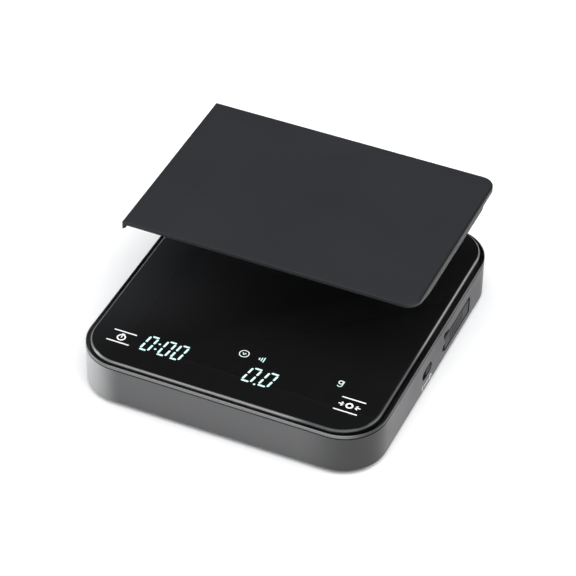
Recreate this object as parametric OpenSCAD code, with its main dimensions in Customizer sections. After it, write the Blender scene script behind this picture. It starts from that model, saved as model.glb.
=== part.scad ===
// Flat timer scale with a glass weighing platform, a lift-off mat,
// a charging port cover and a side power switch.
// Origin: the middle of the footprint, on the surface the feet stand on.
// +X is the user's right, +Y is the rear, +Z is up. Millimetres.

/* [Housing] */
// Width of the housing
body_w = 130; // [110:1:200]
// Depth of the housing, front to back
body_d = 140; // [120:1:220]
// Height of the side wall with its rim
wall_h = 19; // [17:0.5:30]
// Radius of the upright corners
corner_r = 18.5; // [14:0.5:30]
// Thickness of the side wall
wall_t = 1.8; // [1.5:0.1:3]
// Thickness of the bottom cover
floor_t = 2; // [1.6:0.1:3]
// Height of the separate rim ring
rim_h = 1.2; // [0.8:0.1:2]
// Height of the shadow groove under the rim ring
groove_h = 0.6; // [0.3:0.1:1]
// Gap between the platform and the ledge inside the rim ring
ledge_gap = 0.4; // [0.3:0.05:0.5]
// Depth of the shadow groove
groove_d = 0.35; // [0.2:0.05:0.4]

/* [Feet] */
// Diameter of a foot where it sits in the bottom cover
foot_d = 14; // [10:0.5:16]
// Width of the brim round a foot, below the bottom cover
foot_brim = 1.5; // [0.5:0.1:1.5]
// Height that a foot stands out of the bottom
foot_h = 1.6; // [1:0.1:4]
// Depth that a foot is sunk into the bottom cover
foot_seat = 0.6; // [0.3:0.1:1]
// Distance of a foot's centre from each side
foot_inset = 13; // [12:0.5:20]

/* [Platform] */
// Thickness of the glass
glass_t = 2; // [1.5:0.1:4]
// Height that the glass stands above the rim
glass_rise = 1.4; // [0.8:0.1:3]
// Corner radius of the glass
glass_r = 16; // [12:0.5:24]
// Width of the bevelled frame round the glass
bevel_w = 0.7; // [0.5:0.05:1.5]
// Gap between the platform and the rim at the left and right
side_gap = 1.6; // [1.6:0.1:3]
// Gap between the platform and the rim at the front and rear
end_gap = 0.7; // [0.6:0.1:2]
// Thickness of the adhesive ring under the glass
tape_t = 0.3; // [0.2:0.1:0.6]
// Thickness of the platform tray
tray_t = 1.7; // [1.2:0.1:3]
// Travel of the platform down to its stops
platform_travel = 0.5; // [0.3:0.1:0.8]

/* [Mat] */
// Thickness of the mat
mat_t = 1.6; // [1.2:0.1:3]
// Depth of the mat, front to back
mat_d = 89.4; // [60:0.2:100]
// Height of the lifted mat's underside above the glass
mat_lift = 31.2; // [10:0.1:60]
// Distance of the mat's rear edge from the housing's rear
mat_back = 3.8; // [2:0.1:20]
// Drop of the two side lips below the mat
lip_drop = 2.2; // [1:0.1:2.4]
// Drop of the skirt that leads the right lip round the rear corner
skirt_drop = 0.9; // [0.5:0.1:0.9]
// Thickness of the side lips
lip_t = 1; // [0.8:0.1:1]
// Radius of the mat's two right corners
mat_r = 6; // [3:0.5:12]

/* [Charging port] */
// Distance of the port's centre behind the middle of the side
port_y = 25; // [22:0.5:28]
// Height of the port's centre above the housing's lower edge
port_z = 7.8; // [7.6:0.1:9.5]
// Length of the recess for the port cover
recess_len = 28; // [26:0.5:34]
// Height of the recess for the port cover
recess_h = 8.4; // [8:0.1:10]
// Height of the finger gap above the port cover
finger_gap = 1.6; // [0.6:0.1:1.6]
// Thickness of the port cover
cover_t = 1.6; // [1.2:0.1:2]
// Radius of the port cover's pin
cover_pin_r = 0.45; // [0.4:0.05:0.6]

/* [Power switch] */
// Distance of the switch in front of the middle of the side
switch_y = 8.7; // [8:0.1:14]
// Height of the switch's centre above the housing's lower edge
switch_z = 8.7; // [8:0.1:10]
// Length of the switch slot
slot_len = 10; // [9.5:0.5:14]
// Height of the switch slot
slot_h = 4.8; // [4:0.1:6]
// Length of the switch knob
knob_len = 5.6; // [4:0.1:7]
// Travel of the switch knob
knob_travel = 3; // [2:0.1:4]

/* [Load cell] */
// Length of the load cell beam
cell_len = 60; // [55:1:70]
// Width of the load cell beam
cell_w = 12; // [10:0.5:16]
// Height of the load cell beam
cell_h = 7; // [6:0.5:7]

/* [Display] */
// Height of a digit
digit_h = 9.5; // [6:0.1:10]
// Width of a digit
digit_w = 4.4; // [3:0.1:5]
// Thickness of a digit's stroke
stroke = 0.9; // [0.6:0.1:1.2]
// Lean of the digits, sideways per unit of height
digit_lean = 0.16; // [0:0.01:0.3]

/* [Hidden] */
$fn = 64;
eps = 0.01;        // small overshoot that keeps a cut open
clear = 0.3;       // clearance round a moving piece
snug = 0.15;       // clearance between fixed pieces

// Heights, from the surface the feet stand on
base_z = foot_h;                         // lower edge of the housing
floor_z = base_z + floor_t;              // top of the bottom cover
rim_z = base_z + wall_h;                 // top of the rim ring
wall_top = rim_z - rim_h - groove_h;     // top of the housing wall
glass_top = rim_z + glass_rise;
glass_z = glass_top - glass_t;           // underside of the glass
tray_top = glass_z - tape_t;
tray_z = tray_top - tray_t;              // underside of the tray's plate
flange_t = 1;                            // ledge of the frame under the tray
frame_z = tray_z - flange_t;             // lower edge of the platform frame
rebate_z = frame_z - platform_travel - clear;
stop_gap = platform_travel + 0.1;        // room over the overload stops

// Half sizes in plan
body_x = body_w / 2;
body_y = body_d / 2;
rim_side = 0.7;                          // rim ring's width at left and right
rim_end = 0.6;                           // rim ring's width at front and rear
frame_x = body_x - rim_side - side_gap;  // outside of the platform frame
frame_y = body_y - rim_end - end_gap;
glass_x = frame_x - bevel_w;
glass_y = frame_y - bevel_w;
foot_top = base_z + 0.3 + foot_seat;      // top face of a foot, against the bottom cover
screw_head = 1.2;                        // height of a bottom screw's head
foot_x = body_x - foot_inset;
foot_y = body_y - foot_inset;

// Mat
mat_x = frame_x + clear + lip_t;         // half width over the lips
mat_rear = body_y - mat_back;
mat_front = mat_rear - mat_d;
mat_z = glass_top + mat_lift;            // underside of the lifted mat
lip_end = body_y - corner_r - 1;         // the lips stop before the round corners
mat_edge_r = 0.4;                        // rounding of the mat's left corners

// Charging port
port_height = base_z + port_z;
recess_d = 2.9;                          // depth of the recess behind the wall face
barrel_r = 1.1;                          // radius of the port cover's hinge barrel
hinge_x = body_x - barrel_r - 0.1;
hinge_y = port_y + recess_len / 2 - 1.7;
boss_t = 3.4;                            // extra wall behind the recess
port_w = 8.94;                           // size of the charging socket
port_h = 3.26;
port_len = 7.3;
ledge_t = 0.5;                           // thickness of the ledge inside the rim ring
gap_d = 4.4;                             // depth of the finger gap above the cover
recess_r = 0.8;
scoop_r = 6;                             // radius of the finger scoop at the recess
scoop_d = 0.7;                           // depth of the finger scoop

// Power switch
slot_z = base_z + switch_z;
knob_y = -switch_y + knob_travel / 2;
knob_h = slot_h - 2 * clear;

// Load cell
cell_y = 0;
cell_z = floor_z + 1.6;                  // underside of the beam
cell_screw_x = cell_len / 2 - 5;
cell_screw_gap = 6;
m3 = 1.5;                                // radius of an M3 screw
m3_head = 2.75;
m2 = 1;
m2_head = 1.9;

// Boards
board_t = 1.2;
board_top = port_height - port_h / 2;
board_z = board_top - board_t;
board_x0 = body_x - wall_t - 30.2;
board_x1 = body_x - boss_t - wall_t - 0.6;
board_y0 = -22;
board_y1 = 44;
board_holes = [[board_x0 + 3, board_y0 + 3], [board_x0 + 3, board_y1 - 3],
               [board_x1 - 3, board_y0 + 3], [board_x1 - 3, board_y1 - 3]];
display_x = glass_x - 7;                 // half width of the display opening
display_y0 = -glass_y + 6;
display_y1 = display_y0 + 25.5;
light_t = 3;                             // depth of the light mask
display_z = glass_z - light_t;           // top of the display board
display_holes = [-display_x + 6, 0, display_x - 6];
display_hole_y = display_y1 + 3;

// Overload stops
stop_front_x = body_x - 17;
stop_rear_x = body_x - 21;
stops = [[-stop_front_x, display_y1 + 9], [stop_front_x, display_y1 + 9],
         [-stop_rear_x, body_y - 13], [stop_rear_x, body_y - 13]];
stop_pad = 2.5;                          // depth of the tray pad over a stop

// Printed marks on the glass
mark_t = 0.05;
timer_x = -31;
weight_x = 11;
digit_row = display_y0 + 9.5;            // middle of the digits
status_row = display_y1 - 5.6;           // middle of the small signs
key_x = 49.5;
key_y = display_y0 + 8.8;
key_bar_gap = 7.2;
key_bar_len = 9.6;
key_bar_t = 0.7;

// Battery
battery_size = [48, 32, 6];
battery_at = [-57, 18];
pad_t = 0.8;

// Colours
gunmetal = [0.36, 0.36, 0.37];
black = [0.05, 0.05, 0.06];
rubber_black = [0.12, 0.12, 0.12];
steel = [0.75, 0.75, 0.77];
green = [0.05, 0.3, 0.15];
glow = [0.75, 1, 0.95];
charcoal = [0.19, 0.19, 0.21];

// ---------- shared shapes ----------

// Rectangle with round corners, centred, given by its half sizes
module round_rect(hx, hy, r) {
    square([2 * hx, 2 * (hy - r)], center = true);
    square([2 * (hx - r), 2 * hy], center = true);
    for (sx = [-1, 1], sy = [-1, 1])
        translate([sx * (hx - r), sy * (hy - r)]) circle(r);
}

// Upright block with round corners between two heights
module round_block(hx, hy, r, z0, z1) {
    translate([0, 0, z0]) linear_extrude(z1 - z0) round_rect(hx, hy, r);
}

// Runs a flat profile round a rectangle with round corners.
// The profile's x is measured outwards from the outline, its y is the height.
module edge_run(hx, hy, r) {
    for (mx = [0, 1], my = [0, 1])
        mirror([mx, 0, 0]) mirror([0, my, 0])
            translate([hx - r, hy - r, 0]) rotate_extrude(angle = 90) translate([r, 0]) children();
    for (mx = [0, 1])
        mirror([mx, 0, 0])
            translate([hx, hy - r, 0]) rotate([90, 0, 0]) linear_extrude(2 * (hy - r)) children();
    for (my = [0, 1])
        mirror([0, my, 0])
            translate([r - hx, hy, 0]) rotate([90, 0, 90]) linear_extrude(2 * (hx - r)) children();
}

module rod(r, z0, z1) {
    translate([0, 0, z0]) cylinder(h = z1 - z0, r = r);
}

module box(x0, x1, y0, y1, z0, z1) {
    translate([x0, y0, z0]) cube([x1 - x0, y1 - y0, z1 - z0]);
}

// Screw with a cross recess: head on top at z, shank down
module screw(z, shank_r, head_r, head_h, length) {
    difference() {
        union() {
            rod(head_r, z - head_h, z);
            rod(shank_r, z - head_h - length, z - head_h + eps);
        }
        for (a = [0, 90])
            rotate(a) translate([-head_r * 0.6, -0.25, z - head_h * 0.5]) cube([head_r * 1.2, 0.5, head_h]);
    }
}

// Eight-sided lead through a list of points, with a knuckle at each bend
module lead(points, r) {
    for (i = [0:len(points) - 2]) {
        a = points[i];
        b = points[i + 1];
        step = b - a;
        reach = norm(step);
        turn = atan2(step[1], step[0]);
        tilt = acos(step[2] / reach);
        translate(a) rotate([0, tilt, turn]) cylinder(h = reach, r = r, $fn = 8);
        if (i > 0) translate(a) rod(r * 1.2, -r * 1.1, r * 1.1, $fn = 8);
    }
}

// Recess shape on the right wall, in plan of the wall: x along Y, y along Z
module side_shape(y, z, len, h, r, x0, x1) {
    translate([x0, y, z]) rotate([90, 0, 90]) linear_extrude(x1 - x0) round_rect(len / 2, h / 2, r);
}

// ---------- seven-segment digits ----------

// Which strokes each digit lights: top, two uppers, middle, two lowers, bottom
lit_zero = [1, 1, 1, 0, 1, 1, 1];
lit_gram = [1, 1, 1, 1, 0, 1, 1];

module stroke_across(y, w) {
    c = stroke / 2;
    translate([0, y]) polygon([[-w, 0], [-w + c, c], [w - c, c], [w, 0], [w - c, -c], [-w + c, -c]]);
}

module stroke_up(x, y, h) {
    c = stroke / 2;
    translate([x, y]) polygon([[0, -h], [c, -h + c], [c, h - c], [0, h], [-c, h - c], [-c, -h + c]]);
}

// One leaning digit, centred, drawn flat
module digit(lit, w, h) {
    gap = 0.12;
    cx = (w - stroke) / 2;
    cy = (h - stroke) / 2;
    multmatrix([[1, digit_lean, 0, 0], [0, 1, 0, 0], [0, 0, 1, 0], [0, 0, 0, 1]]) {
        if (lit[0]) stroke_across(cy, cx - gap);
        if (lit[1]) stroke_up(-cx, cy / 2, cy / 2 - gap);
        if (lit[2]) stroke_up(cx, cy / 2, cy / 2 - gap);
        if (lit[3]) stroke_across(0, cx - gap);
        if (lit[4]) stroke_up(-cx, -cy / 2, cy / 2 - gap);
        if (lit[5]) stroke_up(cx, -cy / 2, cy / 2 - gap);
        if (lit[6]) stroke_across(-cy, cx - gap);
    }
}

// Elapsed time, drawn flat
module timer_shape() {
    translate([timer_x, digit_row]) {
        for (x = [-7, 0.75, 6.5]) translate([x, 0]) digit(lit_zero, digit_w, digit_h);
        // colon
        for (s = [-1, 1]) translate([-3.2 + s * 1.6 * digit_lean, s * 1.6]) circle(stroke * 0.6);
    }
}

// Weight, drawn flat
module weight_shape() {
    translate([weight_x, digit_row]) {
        for (x = [-3.9, 3.3]) translate([x, 0]) digit(lit_zero, digit_w, digit_h);
        // decimal point
        translate([-0.8, (stroke - digit_h) / 2]) circle(stroke * 0.6);
    }
}

// Unit sign, mode light and sound light, drawn flat
module status_shape() {
    translate([41, status_row]) digit(lit_gram, 2.4, 4.4);
    translate([-1, status_row]) {
        difference() {
            circle(2.3);
            circle(1.9);
            // bridges that hold the middle of the mask
            square([6, 0.4], center = true);
        }
        polygon([[-1, -1], [0, 1.1], [1, -1], [0.5, -1], [0, 0.2], [-0.5, -1]]);
    }
    translate([7, status_row]) {
        polygon([[-1.8, -0.6], [-1, -0.6], [0, -1.5], [0, 1.5], [-1, 0.6], [-1.8, 0.6]]);
        // sound waves
        for (r = [1, 1.9]) translate([0.2, 0]) intersection() {
            difference() {
                circle(r);
                circle(r - 0.4);
            }
            polygon([[0, 0], [3, 2.4], [3, -2.4]]);
        }
    }
}

// Bars round each touch key, with a clock sign on the left and a zero sign on the right
module key_shape() {
    for (s = [-1, 1]) translate([s * key_x, key_y]) {
        for (b = [-1, 1]) translate([0, b * key_bar_gap / 2]) square([key_bar_len, key_bar_t], center = true);
        if (s < 0) {
            difference() {
                circle(1.9);
                circle(1.45);
            }
            translate([-0.2, 0]) square([0.4, 1.2]);
            translate([-0.5, 2]) square([1, 0.5]);
        } else {
            difference() {
                circle(1.3);
                circle(0.8);
            }
            for (m = [0, 1]) mirror([m, 0]) {
                translate([2.3, -0.2]) square([1.6, 0.4]);
                polygon([[1.6, 0], [2.5, 0.8], [2.5, -0.8]]);
            }
        }
    }
}

// Prints or cuts a flat drawing between two heights
module raised(z0, z1) {
    translate([0, 0, z0]) linear_extrude(z1 - z0) children();
}

// ---------- base ----------

module housing() {
    color(gunmetal) difference() {
        union() {
            difference() {
                round_block(body_x, body_y, corner_r, base_z, wall_top);
                round_block(body_x - wall_t, body_y - wall_t, corner_r - wall_t, base_z - eps,
                            wall_top + eps);
            }
            // thicker wall behind the port recess
            box(body_x - wall_t - boss_t, body_x - wall_t + eps, port_y - recess_len / 2 - 2,
                port_y + recess_len / 2 + 2, floor_z + snug, port_height + recess_h / 2 + 1.4);
            // corner posts for the bottom screws
            for (sx = [-1, 1], sy = [-1, 1]) {
                translate([sx * foot_x, sy * foot_y, 0]) rod(3.2, floor_z, rebate_z - 3);
                translate([sx * foot_x, sy * foot_y, floor_z]) rotate(sy * sx > 0 ? 45 : -45)
                    translate([sx > 0 ? 0 : -9, -1, 0]) cube([9, 2, rebate_z - 3 - floor_z]);
            }
        }
        // the platform sinks into this rebate
        round_block(body_x - rim_side - 0.1, body_y - rim_end - 0.2, corner_r - rim_side, rebate_z,
                    wall_top + 1);
        // soft lower edge
        edge_run(body_x, body_y, corner_r)
            polygon([[-0.8, base_z - eps], [eps, base_z - eps], [eps, base_z + 0.8]]);
        // seat of the bottom cover
        round_block(body_x - wall_t / 2, body_y - wall_t / 2, corner_r - wall_t / 2, base_z - eps, floor_z);
        // recess, notch and opening of the charging port
        side_shape(port_y, port_height, recess_len, recess_h, recess_r, body_x - recess_d, body_x + 1);
        side_shape(port_y - recess_len / 2 - 0.6, port_height - 1.6, 3.4, 3.4, 1.2, body_x - recess_d,
                   body_x + 1);
        translate([body_x + scoop_r - scoop_d, port_y - recess_len / 2 + 1, port_height + recess_h / 2])
            sphere(scoop_r);
        side_shape(port_y, port_height, port_w + 1, port_h + 1, 1.9, body_x - 9, body_x);
        // the finger gap above the cover runs deeper than the recess
        side_shape(port_y, port_height + (recess_h - finger_gap) / 2, recess_len, finger_gap, finger_gap / 2 - eps,
                   body_x - gap_d, body_x + 1);
        // bore of the port cover's pin
        translate([hinge_x, hinge_y, 0])
            rod(cover_pin_r, port_height - recess_h / 2 - 1.2, port_height + recess_h / 2 + 1.2);
        // slot of the power switch
        side_shape(-switch_y, slot_z, slot_len, slot_h, slot_h / 2 - eps, body_x - 9, body_x + 1);
        // screw holes in the corner posts
        for (sx = [-1, 1], sy = [-1, 1])
            translate([sx * foot_x, sy * foot_y, 0]) rod(m3, floor_z - eps, floor_z + 7);
    }
}

module rim_ring() {
    top_r = 0.35;
    color([0.55, 0.55, 0.56]) difference() {
        union() {
            round_block(body_x - groove_d, body_y - groove_d, corner_r - groove_d, wall_top,
                        rim_z - rim_h + eps);
            round_block(body_x, body_y, corner_r, rim_z - rim_h, rim_z);
        }
        round_block(body_x - rim_side, body_y - rim_end, corner_r - rim_side, wall_top + ledge_t, rim_z + eps);
        // a ledge at the foot of the ring closes most of the gap round the platform
        round_block(frame_x + ledge_gap, frame_y + ledge_gap, glass_r + bevel_w + ledge_gap,
                    wall_top - eps, rim_z);
        // rounded top outer edge
        edge_run(body_x, body_y, corner_r) difference() {
            translate([-top_r, rim_z - top_r]) square(top_r + eps);
            translate([-top_r, rim_z - top_r]) circle(top_r, $fn = 32);
        }
    }
}

module bottom_cover() {
    inner = wall_t + snug;
    color(black) difference() {
        union() {
            round_block(body_x - wall_t / 2 - snug, body_y - wall_t / 2 - snug, corner_r - wall_t / 2,
                        base_z + 0.3, floor_z);
            // pedestal of the load cell
            box(-cell_len / 2, -cell_len / 2 + 18, cell_y - cell_w / 2, cell_y + cell_w / 2,
                floor_z - eps, cell_z);
            // posts of the main board
            for (p = board_holes) translate([p[0], p[1], 0]) rod(2.6, floor_z - eps, board_z);
            // posts of the overload stops
            for (p = stops) translate([p[0], p[1], 0]) rod(3.4, floor_z - eps, floor_z + 6);
            // fence round the battery
            difference() {
                box(battery_at[0] - 1.7, battery_at[0] + battery_size[0] + 1.7, battery_at[1] - 1.7,
                    battery_at[1] + battery_size[1] + 1.7, floor_z - eps, floor_z + 3);
                box(battery_at[0] - 0.3, battery_at[0] + battery_size[0] + 0.3, battery_at[1] - 0.3,
                    battery_at[1] + battery_size[1] + 0.3, floor_z - 1, floor_z + 4);
                box(battery_at[0] + battery_size[0] - 1, battery_at[0] + battery_size[0] + 3,
                    battery_at[1] + 4, battery_at[1] + 10, floor_z, floor_z + 4);
            }
            // ribs
            for (x = [-18, 18]) box(x - 0.8, x + 0.8, -body_y + inner + 8, -14, floor_z - eps, floor_z + 2);
            box(-body_x + inner + 14, body_x - inner - 14, -33, -31.4, floor_z - eps, floor_z + 2);
        }
        // seats of the feet, with the screw holes over them
        for (sx = [-1, 1], sy = [-1, 1]) translate([sx * foot_x, sy * foot_y, 0]) {
            rod(foot_d / 2 + 0.1, base_z - 1, foot_top);
            rod(m3 + 0.2, base_z, floor_z + eps);
        }
        // threads of the load cell, board and stop screws
        for (x = [0, cell_screw_gap]) translate([-cell_screw_x - 2 + x, cell_y, 0]) {
            rod(m3 + 0.1, base_z, cell_z + eps);
            rod(m3_head + 0.2, base_z, base_z + 2.1);
        }
        for (p = board_holes) translate([p[0], p[1], 0]) rod(m2, floor_z + 0.5, board_z + eps);
        for (p = stops) translate([p[0], p[1], 0]) rod(m3, floor_z + 0.6, floor_z + 6 + eps);
    }
}

// A round rubber foot with a soft lower edge, hollow on top for the screw head
module foot(sx, sy) {
    edge = 0.6;
    brim = foot_d / 2 + foot_brim;
    color(rubber_black) translate([sx * foot_x, sy * foot_y, 0]) difference() {
        rotate_extrude() {
            square([foot_d / 2, foot_top]);
            square([brim - edge, base_z - 0.1]);
            translate([0, edge]) square([brim, base_z - 0.1 - edge]);
            translate([brim - edge, edge]) circle(edge, $fn = 32);
        }
        rod(m3_head + snug, foot_top - screw_head - 0.1, foot_top + eps);
    }
}

module foot_front_left() { foot(-1, -1); }
module foot_front_right() { foot(1, -1); }
module foot_rear_left() { foot(-1, 1); }
module foot_rear_right() { foot(1, 1); }

module bottom_screws() {
    // the heads bear on the bottom cover, hidden inside the feet
    color(steel) for (sx = [-1, 1], sy = [-1, 1])
        translate([sx * foot_x, sy * foot_y, 0]) mirror([0, 0, 1])
            screw(screw_head - foot_top, m3, m3_head, screw_head, floor_z + 6 - foot_top);
}

module load_cell() {
    color([0.8, 0.8, 0.82]) difference() {
        box(-cell_len / 2, cell_len / 2, cell_y - cell_w / 2, cell_y + cell_w / 2, cell_z, cell_z + cell_h);
        // the two joined holes that make the beam bend
        for (s = [-1, 1]) translate([s * 6, cell_y, cell_z + cell_h / 2]) rotate([90, 0, 0])
            cylinder(h = cell_w + 1, r = cell_h / 2 - 1, center = true);
        box(-6, 6, cell_y - cell_w, cell_y + cell_w, cell_z + cell_h / 2 - 1, cell_z + cell_h / 2 + 1);
        // threaded holes at each end
        for (s = [-1, 1], x = [0, cell_screw_gap])
            translate([s * (cell_screw_x + 2 - x), cell_y, 0]) rod(m3, cell_z - eps, cell_z + cell_h + eps);
    }
}

module cell_potting() {
    color([0.9, 0.9, 0.88])
        box(-13, 13, cell_y - cell_w / 2 + 1, cell_y + cell_w / 2 - 1,
            cell_z + cell_h, cell_z + cell_h + 0.8);
}

module cell_base_screws() {
    color(steel) for (x = [0, cell_screw_gap])
        translate([-cell_screw_x - 2 + x, cell_y, 0]) mirror([0, 0, 1])
            screw(-base_z - 0.4, m3, m3_head, 1.7, cell_z + 5 - base_z - 2.1);
}

module stop_screws() {
    pad_z = tray_z - stop_pad;
    color(steel) for (p = stops)
        translate([p[0], p[1], 0]) difference() {
            rod(m3, floor_z + 1, pad_z - stop_gap);
            rod(0.75, pad_z - stop_gap - 1.2, pad_z, $fn = 6);
        }
}

// ---------- electronics in the base ----------

module main_board() {
    color(green) difference() {
        box(board_x0, board_x1, board_y0, board_y1, board_z, board_top);
        for (p = board_holes) translate([p[0], p[1], 0]) rod(m2 + 0.15, board_z - 1, board_top + 1);
    }
}

module board_screws() {
    color(steel) for (p = board_holes)
        translate([p[0], p[1], 0]) screw(board_top + 1.2, m2, m2_head, 1.2, board_t + 2);
}

module board_chips() {
    color([0.1, 0.1, 0.1]) {
        translate([board_x0 + 13, 8, 0]) box(-3.5, 3.5, -3.5, 3.5, board_top, board_top + 1.4);
        translate([board_x0 + 12, -6, 0]) box(-2, 2, -2.5, 2.5, board_top, board_top + 1.2);
        translate([board_x0 + 10, 30, 0]) box(-2.5, 2.5, -1.5, 1.5, board_top, board_top + 1);
        for (i = [0:4]) translate([board_x0 + 8 + 1.8 * i, 16, 0])
            box(-0.5, 0.5, -0.8, 0.8, board_top, board_top + 0.7);
    }
}

module charging_socket() {
    shell = 0.3;
    x1 = body_x - recess_d - 0.2;
    color(steel) difference() {
        side_shape(port_y, port_height, port_w, port_h, port_h / 2 - eps, x1 - port_len, x1);
        side_shape(port_y, port_height, port_w - 2 * shell, port_h - 2 * shell, port_h / 2 - shell - eps,
                   x1 - port_len + 1, x1 + 1);
    }
    color(black)
        box(x1 - port_len + 1, x1 - 0.8, port_y - 3.3, port_y + 3.3, port_height - 0.35, port_height + 0.35);
}

module switch_body() {
    x1 = body_x - wall_t - 0.8;
    color(steel) difference() {
        box(x1 - 4.4, x1, -switch_y - 5.4, -switch_y + 5.4, board_top, slot_z + 2);
        box(x1 - 2, x1 + 1, -switch_y - 4.2, -switch_y + 4.2, slot_z - 1.2, slot_z + 1.2);
    }
}

module sounder() {
    color(black) translate([board_x0 + 9, 23, 0]) difference() {
        rod(4.5, board_top, board_top + 3);
        rod(0.8, board_top + 2, board_top + 4);
    }
}

module lead_sockets() {
    // one socket each for the battery, the load cell and the display
    color([0.92, 0.9, 0.84]) for (y = [-14, -1, 36])
        difference() {
            box(board_x0 + 0.6, board_x0 + 5.6, y - 3, y + 3, board_top, board_top + 3.4);
            box(board_x0 + 2, board_x0 + 4.6, y - 2.4, y + 2.4, board_top + 2.6, board_top + 4);
        }
}

module battery() {
    color([0.75, 0.76, 0.78]) translate([battery_at[0], battery_at[1], floor_z + pad_t]) cube(battery_size);
}

module battery_pad() {
    color([0.15, 0.15, 0.15]) translate([battery_at[0] + 4, battery_at[1] + 4, floor_z])
        cube([battery_size[0] - 8, battery_size[1] - 8, pad_t]);
}

module battery_lead() {
    x0 = battery_at[0] + battery_size[0];
    z0 = floor_z + pad_t + 3;
    color([0.7, 0.1, 0.1])
        lead([[x0, 25, z0], [x0 + 8, 25, z0], [12, 36, z0 + 1], [board_x0 + 0.6, 36, board_top + 1.4]], 0.7);
}

module cell_lead() {
    r = 0.4;
    z = cell_z + cell_h + r;
    y = cell_y - cell_w / 2 + 1;
    color([0.85, 0.85, 0.85])
        lead([[8, y, z], [8, y - 2, z], [11, y - 6, z], [26, -14, z - 1], [board_x0 + 0.6, -14, board_top + 1.4]], r);
}

module display_ribbon() {
    // flat flexible cable from the display board to the main board
    x0 = board_x0 + 2.2;
    x1 = board_x0 + 4.4;
    t = 0.25;
    color([0.9, 0.9, 0.85]) {
        box(x0, x1, display_y1 - 4, display_y1 + 14, display_z - board_t - 1.2 - t,
            display_z - board_t - 1.2);
        box(x0, x1, display_y1 + 14 - t, display_y1 + 14, board_top + 5, display_z - board_t - 1.2);
        box(x0, x1, display_y1 + 14 - t, -1, board_top + 5 - t, board_top + 5);
        box(x0, x1, -1 - t, -1, board_top + 2.6, board_top + 5);
    }
}

module cover_pin() {
    color(steel) translate([hinge_x, hinge_y, 0])
        rod(cover_pin_r, port_height - recess_h / 2 - 1.1, port_height + recess_h / 2 + 1.1);
}

module switch_marks() {
    // printed on and off signs under the switch slot, with a line between them
    z = slot_z - slot_h / 2 - 3.4;
    color("white") {
        side_shape(-switch_y - 4.6, z, 0.6, 2.4, 0.2, body_x, body_x + mark_t);
        side_shape(-switch_y - 0.5, z, 5.4, 0.5, 0.2, body_x, body_x + mark_t);
        difference() {
            side_shape(-switch_y + 4, z, 2.4, 2.4, 1.19, body_x, body_x + mark_t);
            side_shape(-switch_y + 4, z, 1.5, 1.5, 0.74, body_x - 1, body_x + 1);
        }
    }
}

// ---------- platform ----------

module platform_tray() {
    x = glass_x - 0.1;
    y = glass_y - 0.1;
    color(black) difference() {
        union() {
            round_block(x, y, glass_r - 0.1, tray_z, tray_top);
            // boss that stands on the free end of the load cell
            box(cell_len / 2 - 16, cell_len / 2, cell_y - cell_w / 2, cell_y + cell_w / 2,
                cell_z + cell_h, tray_z + eps);
            // stiffening ribs
            for (i = [-2:2]) box(i * 18 - 0.8, i * 18 + 0.8, 14, 50, tray_z - 2, tray_z + eps);
            for (j = [14, 32, 50]) box(-37, 37, j - 0.8, j + 0.8, tray_z - 2, tray_z + eps);
            // pads over the overload stops
            for (p = stops) translate([p[0], p[1], 0]) rod(3.6, tray_z - stop_pad, tray_z + eps);
            // bosses of the display board
            for (i = display_holes) translate([i, display_hole_y, 0]) rod(2.4, display_z, tray_z + eps);
        }
        // window for the display
        box(-display_x - 0.3, display_x + 0.3, display_y0 - 0.3, display_y1 + 0.3, tray_z - 1, tray_top + 1);
        // counterbored holes for the load cell screws
        for (s = [0, cell_screw_gap]) translate([cell_screw_x + 2 - s, cell_y, 0]) {
            rod(m3 + 0.1, cell_z, tray_top + 1);
            rod(m3_head + 0.2, tray_top - 2, tray_top + 1);
        }
        for (i = display_holes) translate([i, display_hole_y, 0]) rod(m2, display_z - 1, tray_z + 1);
    }
}

module platform_frame() {
    color([0.62, 0.63, 0.64]) union() {
        edge_run(frame_x, frame_y, glass_r + bevel_w)
            polygon([[-bevel_w, tray_z - eps], [0, tray_z - eps], [0, glass_top - bevel_w],
                     [-0.1, glass_top - 0.5], [-bevel_w + 0.12, glass_top - 0.03], [-bevel_w, glass_top - 0.03]]);
        edge_run(frame_x, frame_y, glass_r + bevel_w)
            polygon([[-2.4, frame_z], [-0.3, frame_z], [0, frame_z + 0.3], [0, tray_z], [-2.4, tray_z]]);
    }
}

module glass_panel() {
    arris = 0.2;
    color(black) difference() {
        round_block(glass_x - 0.03, glass_y - 0.03, glass_r, glass_z, glass_top);
        edge_run(glass_x - 0.03, glass_y - 0.03, glass_r)
            polygon([[-arris, glass_top + eps], [eps, glass_top + eps], [eps, glass_top - arris]]);
        // the print lies in the underside
        raised(glass_z - eps, glass_z + mark_t) key_shape();
    }
}

module glass_tape() {
    color([0.08, 0.08, 0.08]) difference() {
        round_block(glass_x - 0.6, glass_y - 0.6, glass_r - 0.6, tray_top, glass_z);
        round_block(glass_x - 2.2, glass_y - 2.2, glass_r - 2.2, tray_top - 1, glass_z + 1);
    }
}

module display_board() {
    color(green) difference() {
        box(-display_x, display_x, display_y0, display_y1 + 5, display_z - board_t, display_z);
        for (i = display_holes) translate([i, display_hole_y, 0])
            rod(m2 + 0.15, display_z - 3, display_z + 1);
    }
    // socket of the flexible cable
    color([0.9, 0.88, 0.8])
        box(board_x0 + 0.8, board_x0 + 5.4, display_y1 - 4, display_y1 - 0.5,
            display_z - board_t - 1.2, display_z - board_t);
}

module light_mask() {
    color([0.12, 0.12, 0.12]) difference() {
        box(-display_x, display_x, display_y0, display_y1, display_z, glass_z);
        raised(display_z - 1, glass_z + 1) {
            timer_shape();
            weight_shape();
            status_shape();
        }
        // wells of the two touch springs
        for (s = [-1, 1]) translate([s * key_x, key_y, 0]) rod(4.5, display_z - 1, glass_z + 1);
    }
}

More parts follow.
